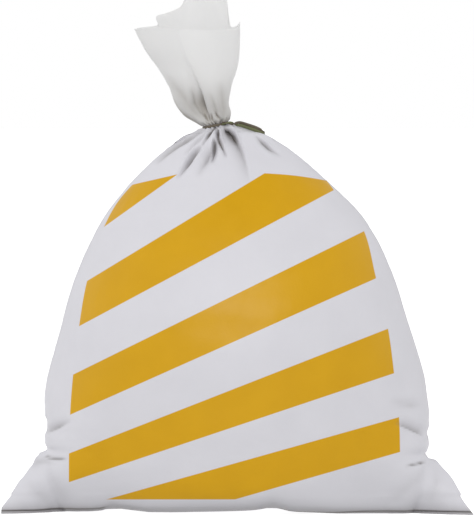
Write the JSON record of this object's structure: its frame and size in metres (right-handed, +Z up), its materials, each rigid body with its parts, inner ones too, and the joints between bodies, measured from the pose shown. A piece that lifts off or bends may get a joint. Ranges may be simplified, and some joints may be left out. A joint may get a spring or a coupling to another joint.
{
  "type": "cement bag",
  "caption": "Small plastic-film bag of cement, standing on its base: full body, welded bottom corners, gathered neck with a wire tie, and loose open film above it.",
  "frame": {"origin": "centre of the bag's outline on the floor, at the height of the base", "axes": "+Z up from the base to the open mouth; the printed front faces -Y; +X is to the right as seen from the front"},
  "size_m": [0.22, 0.1036, 0.2384],
  "materials": {
    "film": "white polyethylene film, satin, with a printed panel of golden yellow diagonal stripes on the front",
    "cement": "loose white cement powder, matte",
    "tie": "olive plastic-coated wire tie, twisted ends"
  },
  "bodies": {
    "root": {"film_bag": "film", "cement_fill": "cement", "neck_tie": "tie"}
  },
  "joints": []
}
